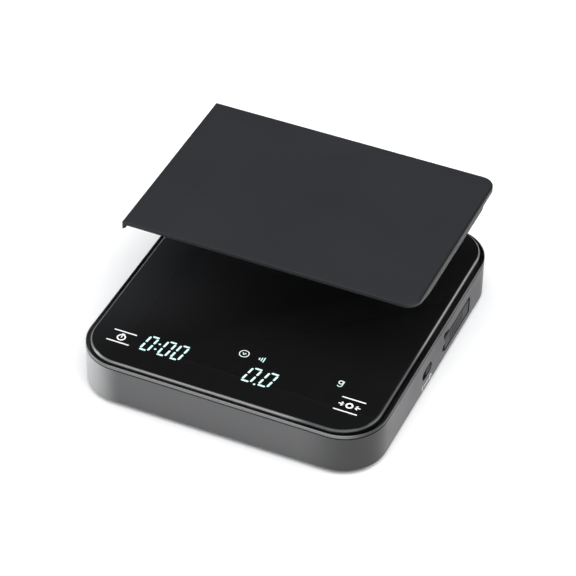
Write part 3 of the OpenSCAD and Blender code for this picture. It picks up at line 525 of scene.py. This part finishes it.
# %% Stroke group
def stroke_group():
    tree = bpy.data.node_groups.new("pulled_strokes", "GeometryNodeTree")
    tree.interface.new_socket("Geometry", in_out="INPUT", socket_type="NodeSocketGeometry")
    tree.interface.new_socket("Thickness", in_out="INPUT", socket_type="NodeSocketFloat")
    tree.interface.new_socket("Material", in_out="INPUT", socket_type="NodeSocketMaterial")
    tree.interface.new_socket("Geometry", in_out="OUTPUT", socket_type="NodeSocketGeometry")
    given, given_out = add_node(tree, "NodeGroupInput"), add_node(tree, "NodeGroupOutput")
    dot = add_node(tree, "GeometryNodeMeshCylinder", fill_type="NGON")
    dot.inputs["Vertices"].default_value = 24
    dot.inputs["Radius"].default_value = 1.0
    wide = add_node(tree, "GeometryNodeInputNamedAttribute", data_type="FLOAT")
    wide.inputs["Name"].default_value = "half_width"
    reach = add_node(tree, "GeometryNodeInputNamedAttribute", data_type="FLOAT_VECTOR")
    reach.inputs["Name"].default_value = "reach"
    home = add_node(tree, "GeometryNodeInputNamedAttribute", data_type="FLOAT_VECTOR")
    home.inputs["Name"].default_value = "home"
    size = add_node(tree, "ShaderNodeCombineXYZ")
    size.inputs[2].default_value = 1.0
    placed = add_node(tree, "GeometryNodeInstanceOnPoints")
    real = add_node(tree, "GeometryNodeRealizeInstances")
    where = add_node(tree, "GeometryNodeInputPosition")
    off = add_node(tree, "ShaderNodeVectorMath", operation="SUBTRACT")
    along = add_node(tree, "ShaderNodeVectorMath", operation="DOT_PRODUCT")
    which_end = add_node(tree, "ShaderNodeMath", operation="SIGN")
    push = add_node(tree, "ShaderNodeVectorMath", operation="SCALE")
    pulled = add_node(tree, "GeometryNodeSetPosition")
    painted = add_node(tree, "GeometryNodeSetMaterial")
    for a, b in (
        (given.outputs["Geometry"], placed.inputs["Points"]),
        (given.outputs["Thickness"], dot.inputs["Depth"]),
        (dot.outputs["Mesh"], placed.inputs["Instance"]),
        (wide.outputs["Attribute"], size.inputs[0]),
        (wide.outputs["Attribute"], size.inputs[1]),
        (size.outputs[0], placed.inputs["Scale"]),
        (placed.outputs[0], real.inputs[0]),
        (real.outputs[0], pulled.inputs["Geometry"]),
        (where.outputs[0], off.inputs[0]),
        (home.outputs["Attribute"], off.inputs[1]),
        (off.outputs[0], along.inputs[0]),
        (reach.outputs["Attribute"], along.inputs[1]),
        (along.outputs["Value"], which_end.inputs[0]),
        (reach.outputs["Attribute"], push.inputs[0]),
        (which_end.outputs[0], push.inputs["Scale"]),
        (push.outputs[0], pulled.inputs["Offset"]),
        (pulled.outputs[0], painted.inputs["Geometry"]),
        (given.outputs["Material"], painted.inputs["Material"]),
        (painted.outputs[0], given_out.inputs["Geometry"]),
    ):
        tree.links.new(a, b)
    return tree


pulled_strokes = stroke_group()


def socket_names(tree):
    """The identifier behind each input name of a group."""
    return {s.name: s.identifier for s in tree.interface.items_tree if s.in_out == "INPUT"}


def made_by(group, source, name, **values):
    """Runs a group on an object and returns what it makes as plain mesh data."""
    maker = source.modifiers.new("maker", "NODES")
    maker.node_group = group
    names = socket_names(group)
    for key, value in values.items():
        maker[names[key]] = value
    solved = source.evaluated_get(bpy.context.evaluated_depsgraph_get())
    mesh = bpy.data.meshes.new_from_object(solved)
    mesh.name = name
    bpy.data.objects.remove(source)
    return mesh


def strokes_mesh(name, strokes, low, high, material):
    """Strokes in mm, each (x1, y1, x2, y2, width), as bars from one height to another."""
    middle = (low + high) / 2
    seeds = mesh_object(name, [((a + c) / 2 * MM, (b + d) / 2 * MM, middle * MM) for a, b, c, d, w in strokes], [])
    facts = (
        ("half_width", "FLOAT", [w / 2 * MM for *ends, w in strokes]),
        ("reach", "FLOAT_VECTOR", [((c - a) / 2 * MM, (d - b) / 2 * MM, 0) for a, b, c, d, w in strokes]),
        ("home", "FLOAT_VECTOR", [tuple(v.co) for v in seeds.data.vertices]),
    )
    for key, kind, values in facts:
        field = seeds.data.attributes.new(key, kind, "POINT")
        for cell, value in zip(field.data, values):
            if kind == "FLOAT":
                cell.value = value
            else:
                cell.vector = value
    return made_by(pulled_strokes, seeds, name, Thickness=(high - low) * MM, Material=material)


print("stroke group inputs:", sorted(socket_names(pulled_strokes)))

# %% [markdown]
# ## Rings and joined meshes
# A closed circle drawn with strokes would have its short bars lying on top of one
# another, which leaves specks. So a ring is one skin of its own: four loops, for the
# inner and outer edge at the top and bottom. A second helper puts several meshes
# into one object, since all the signs of one finish move as one.

# %% Rings and joining
def ring_mesh(name, x, y, radius, wide, low, high, material):
    """A flat ring in mm with a square section, for signs that are a closed circle."""
    skin = bmesh.new()
    section = ((radius - wide / 2, high), (radius + wide / 2, high), (radius + wide / 2, low), (radius - wide / 2, low))
    turns = [math.tau * i / 40 for i in range(40)]
    loops = [
        [skin.verts.new(((x + r * math.cos(t)) * MM, (y + r * math.sin(t)) * MM, z * MM)) for t in turns]
        for r, z in section
    ]
    for k in range(4):
        here, there = loops[k], loops[(k + 1) % 4]
        for i in range(40):
            skin.faces.new((here[i], there[i], there[(i + 1) % 40], here[(i + 1) % 40]))
    bmesh.ops.recalc_face_normals(skin, faces=skin.faces)
    mesh = bpy.data.meshes.new(name)
    skin.to_mesh(mesh)
    skin.free()
    mesh.materials.append(material)
    return mesh


def join_meshes(name, meshes):
    """Puts several meshes into one object, keeping their finishes."""
    skin = bmesh.new()
    for mesh in meshes:
        skin.from_mesh(mesh)
    whole = bpy.data.meshes.new(name)
    skin.to_mesh(whole)
    skin.free()
    for material in meshes[0].materials:
        whole.materials.append(material)
    return link_new(whole, name)


print("ring and joining helpers ready")

# %% [markdown]
# ## Digits behind the glass
# Each digit has the usual seven bars, leaning a little to the right. The bars are
# cut so that neighbours do not touch, which leaves the dark gaps a real display
# has. They sit just above the glass face, since the glass here is solid black.

# %% Lit digits
glass_low, glass_high = in_mm("glass_panel")
face_z = glass_high.z


def digit_bars(x, y, half_wide, half_high, lean, wide):
    """The bars of a 0: top, two on the right, bottom and two on the left."""
    bars = (
        (-half_wide + 1.15, half_high, half_wide - 0.35, half_high),
        (half_wide, half_high - 1.15, half_wide, 0.85),
        (half_wide, -0.85, half_wide, 0.75 - half_high),
        (-half_wide + 0.35, -half_high, half_wide - 1.15, -half_high),
        (-half_wide, -0.85, -half_wide, 1.15 - half_high),
        (-half_wide, 0.85, -half_wide, half_high - 0.75),
    )
    return [(x + a + lean * b, y + b, x + c + lean * d, y + d, wide) for a, b, c, d in bars]


def dot_at(x, y, wide):
    return (x - 0.02, y, x + 0.02, y, wide)


def arc(x, y, radius, start, end, wide, count):
    """A curved line made of short strokes, with its two angles in degrees."""
    turns = [math.radians(start + (end - start) * i / count) for i in range(count + 1)]
    spots = [(x + radius * math.cos(t), y + radius * math.sin(t)) for t in turns]
    return [(*p, *q, wide) for p, q in zip(spots, spots[1:])]


SIGN_LOW, SIGN_HIGH = face_z - 0.3, face_z + 0.02
lit_strokes = []
for x in (-38.0, -30.25, -24.5):
    lit_strokes += digit_bars(x, -52.5, 1.72, 4.35, 0.14, 0.92)
lit_strokes += [dot_at(-34.0, -51.2, 0.95), dot_at(-34.4, -54.6, 0.95)]
for x in (7.1, 14.3):
    lit_strokes += digit_bars(x, -52.4, 1.9, 4.15, 0.19, 0.92)
lit_strokes += [dot_at(10.2, -57.0, 0.95)]
# a small g, the round hollow sign and the three bars of the buzzer sign
lit_strokes += arc(41.1, -43.2, 0.9, -5, -150, 0.42, 7) + [(42.1, -40.8, 42.0, -43.1, 0.42)]
lit_strokes += [(-1.5, -41.7, -0.9, -42.6, 0.42), (-0.9, -42.6, -0.3, -41.7, 0.42)]
lit_strokes += [(5.9, -42.7, 5.9, -41.9, 0.5), (6.9, -43.1, 6.9, -41.5, 0.5), (7.9, -43.5, 7.9, -41.1, 0.5)]

cyan = finishes["light_cyan"]
lit_digits = join_meshes("lit_digits", [
    strokes_mesh("lit_bars", lit_strokes, SIGN_LOW, SIGN_HIGH, cyan),
    ring_mesh("lit_circle", -0.9, -42.1, 1.95, 0.35, SIGN_LOW, SIGN_HIGH, cyan),
    ring_mesh("lit_bowl", 41.0, -41.6, 0.9, 0.42, SIGN_LOW, SIGN_HIGH, cyan),
])
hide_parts("timer_digits", "weight_digits", "status_lights")
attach(lit_digits, "platform")
print("lit strokes:", len(lit_strokes))

# %% [markdown]
# ## Printed key signs
# The two touch keys are printed on the glass as a pair of thin white bars with a
# sign between them: a clock for the timer, and a nought between two arrows for
# setting the weight to nothing. Both are plain generic signs.

# %% Key signs
key_strokes = [
    (-54.4, -50.3, -44.9, -50.3, 0.62), (-54.8, -57.0, -45.3, -57.0, 0.62),
    (44.9, -48.9, 54.5, -48.9, 0.62), (44.2, -56.6, 53.8, -56.6, 0.62),
]
key_strokes += [(-49.9, -53.85, -49.9, -53.0, 0.55), (-50.4, -51.75, -49.4, -51.75, 0.55)]
for side in (-1, 1):
    key_strokes += [(49.3 + side * 2.4, -52.8, 49.3 + side * 4.4, -52.8, 0.6)]
    key_strokes += [(49.3 + side * 2.4, -52.8, 49.3 + side * 3.3, -52.8 + k * 0.9, 0.6) for k in (-1, 1)]
white = finishes["print_white"]
key_signs = join_meshes("key_signs", [
    strokes_mesh("key_bars", key_strokes, SIGN_LOW, SIGN_HIGH, white),
    ring_mesh("clock_ring", -49.9, -53.85, 1.6, 0.6, SIGN_LOW, SIGN_HIGH, white),
    ring_mesh("nought", 49.3, -52.8, 1.25, 0.7, SIGN_LOW, SIGN_HIGH, white),
])
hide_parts("key_marks")
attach(key_signs, "platform")
print("key strokes:", len(key_strokes))

# %% [markdown]
# ## Blocks that stand on the side wall
# The port flap and the switch thumb are small mouldings on the right wall, seen from
# the side, so they are drawn flat and then stood up against the wall. Their outlines
# are swept with a soft edge like the mat.

# %% Side helpers
STAND_UP = Matrix(((0, 0, 1, 0), (1, 0, 0, 0), (0, 1, 0, 0), (0, 0, 0, 1)))


def side_block(name, y_low, y_high, z_low, z_high, x_back, x_face, radius, soft, material):
    """A rounded block standing on the right wall, all in mm, with a soft outer edge."""
    loop = walk_round((y_low, z_low), (y_high, z_high), (radius,) * 4, 1.0)
    rings = round_over(soft, x_face) + [lambda spot: (0.0, x_back)]
    made = swept_edge(name, loop, rings, STAND_UP)
    mesh = made.data
    mesh.materials.append(material)
    bpy.data.objects.remove(made)
    return mesh


def side_strokes(name, strokes, x_low, x_high, material):
    mesh = strokes_mesh(name, strokes, x_low, x_high, material)
    mesh.transform(STAND_UP)
    return mesh


print("side helpers ready")

# %% [markdown]
# ## The port flap
# A soft flap closes the charging port. It has a barrel that turns on a pin, a plug on
# its inner side and seven ribs for a fingertip, made by the stroke group.

# %% Port flap
flap_low, flap_high = in_mm("port_cover")
rubber = finishes["flap_silicone"]
FLAP_FACE, FLAP_THICK = flap_high.x - 0.15, 1.6
hinge_y = flap_high.y - 1.1
barrel = [(hinge_y, flap_low.z + 1.1, hinge_y, flap_high.z - 1.1, 2.2)]
flap_middle = (flap_low.z + flap_high.z) / 2
flap_ribs = [
    (18 + 2.2 * i, flap_middle - 2.0, 18 + 2.2 * i, flap_middle + 1.6, 0.9) for i in range(7)
]
port_flap = join_meshes("port_flap", [
    side_block("flap_slab", flap_low.y, hinge_y, flap_low.z, flap_high.z, FLAP_FACE - FLAP_THICK, FLAP_FACE,
               1.2, 0.3, rubber),
    side_block("flap_plug", 21.2, 28.8, 6.6, 9.0, flap_low.x, FLAP_FACE - FLAP_THICK + 0.1, 0.8, 0.2, rubber),
    side_strokes("flap_barrel", barrel, FLAP_FACE - 2.0, FLAP_FACE - 0.1, rubber),
    side_strokes("flap_ribs", flap_ribs, FLAP_FACE - 0.3, flap_high.x, rubber),
])
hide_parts("port_cover")
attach(port_flap, "port_cover")

print("flap faces:", len(port_flap.data.polygons))

# %% [markdown]
# ## The switch thumb
# The thumb of the slide switch is a hard black pad with five ribs, on a stem that
# reaches through the slot to the switch inside.

# %% Switch thumb
knob_low, knob_high = in_mm("switch_knob")
knob_black = finishes["knob_plastic"]
knob_y, knob_z = (knob_low.y + knob_high.y) / 2, (knob_low.z + knob_high.z) / 2
knob_ribs = [(knob_y + 0.95 * i, knob_z - 1.25, knob_y + 0.95 * i, knob_z + 1.25, 0.5) for i in range(-2, 3)]
switch_thumb = join_meshes("switch_thumb", [
    side_block("thumb_pad", knob_low.y, knob_high.y, knob_low.z, knob_high.z, knob_high.x - 1.65,
               knob_high.x - 0.45, 1.7, 0.25, knob_black),
    side_block("thumb_stem", knob_y - 1, knob_y + 1, knob_z - 0.8, knob_z + 0.8, knob_low.x, knob_high.x - 1.6,
               0.3, 0.1, knob_black),
    side_strokes("thumb_ribs", knob_ribs, knob_high.x - 0.7, knob_high.x, knob_black),
])
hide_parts("switch_knob")
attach(switch_thumb, "switch_knob")
print("thumb faces:", len(switch_thumb.data.polygons))

# %% [markdown]
# ## Rubber feet
# The four feet are one moulding used four times, so one foot is made and Geometry
# Nodes sets a copy on each of four points. The foot is turned like a pot: a
# line of radius and height goes round its axis, with a soft lower edge, a brim, the
# plug that sits in the bottom cover and the hollow for a screw head.

# %% Feet
FEET = ("foot_front_left", "foot_front_right", "foot_rear_left", "foot_rear_right")
foot_low, foot_high = in_mm(FEET[0])
brim = (foot_high.x - foot_low.x) / 2
foot_line = [(brim - 0.6 + 0.6 * math.sin(math.radians(a)), 0.6 - 0.6 * math.cos(math.radians(a)))
             for a in range(0, 91, 15)]
foot_line += [(brim, 1.25), (brim - 0.25, 1.5), (7.0, 1.5), (7.0, foot_high.z - 0.1), (6.9, foot_high.z),
              (2.9, foot_high.z), (2.9, 1.1), (2.7, 1.0)]
ring_loop = [(Vector((0, 0)), -Vector((math.cos(math.tau * i / 64), math.sin(math.tau * i / 64)))) for i in range(64)]
one_foot = swept_edge("one_foot", ring_loop, [lambda spot, p=p: (-p[0], p[1]) for p in foot_line])


def copies_group():
    tree = bpy.data.node_groups.new("copies_on_points", "GeometryNodeTree")
    tree.interface.new_socket("Geometry", in_out="INPUT", socket_type="NodeSocketGeometry")
    tree.interface.new_socket("Piece", in_out="INPUT", socket_type="NodeSocketObject")
    tree.interface.new_socket("Material", in_out="INPUT", socket_type="NodeSocketMaterial")
    tree.interface.new_socket("Geometry", in_out="OUTPUT", socket_type="NodeSocketGeometry")
    given, given_out = add_node(tree, "NodeGroupInput"), add_node(tree, "NodeGroupOutput")
    piece = add_node(tree, "GeometryNodeObjectInfo")
    placed = add_node(tree, "GeometryNodeInstanceOnPoints")
    real = add_node(tree, "GeometryNodeRealizeInstances")
    painted = add_node(tree, "GeometryNodeSetMaterial")
    for a, b in (
        (given.outputs["Piece"], piece.inputs["Object"]),
        (given.outputs["Geometry"], placed.inputs["Points"]),
        (piece.outputs["Geometry"], placed.inputs["Instance"]),
        (placed.outputs[0], real.inputs[0]),
        (real.outputs[0], painted.inputs["Geometry"]),
        (given.outputs["Material"], painted.inputs["Material"]),
        (painted.outputs[0], given_out.inputs["Geometry"]),
    ):
        tree.links.new(a, b)
    return tree


spots = [(a + b) / 2 for a, b in (in_mm(node) for node in FEET)]
foot_points = mesh_object("foot_points", [(s.x * MM, s.y * MM, 0) for s in spots], [])
rubber_feet = link_new(
    made_by(copies_group(), foot_points, "rubber_feet", Piece=one_foot, Material=finishes["foot_rubber"]),
    "rubber_feet",
)
bpy.data.objects.remove(one_foot)
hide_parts(*FEET)
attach(rubber_feet, "base")
print("feet at mm:", [(round(s.x, 1), round(s.y, 1)) for s in spots])

# %% [markdown]
# ## Dressing the parts that stay
# Every other part keeps its exact shape and only takes its finish, by the name of
# the material it was packed with.

# %% Dress the parts
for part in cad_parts.values():
    for place in part.material_slots:
        place.material = finishes[place.material.name.split(".")[0]]
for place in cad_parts["switch_body"].material_slots:
    place.material = finishes["chip_black"]
print("parts dressed:", len(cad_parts))
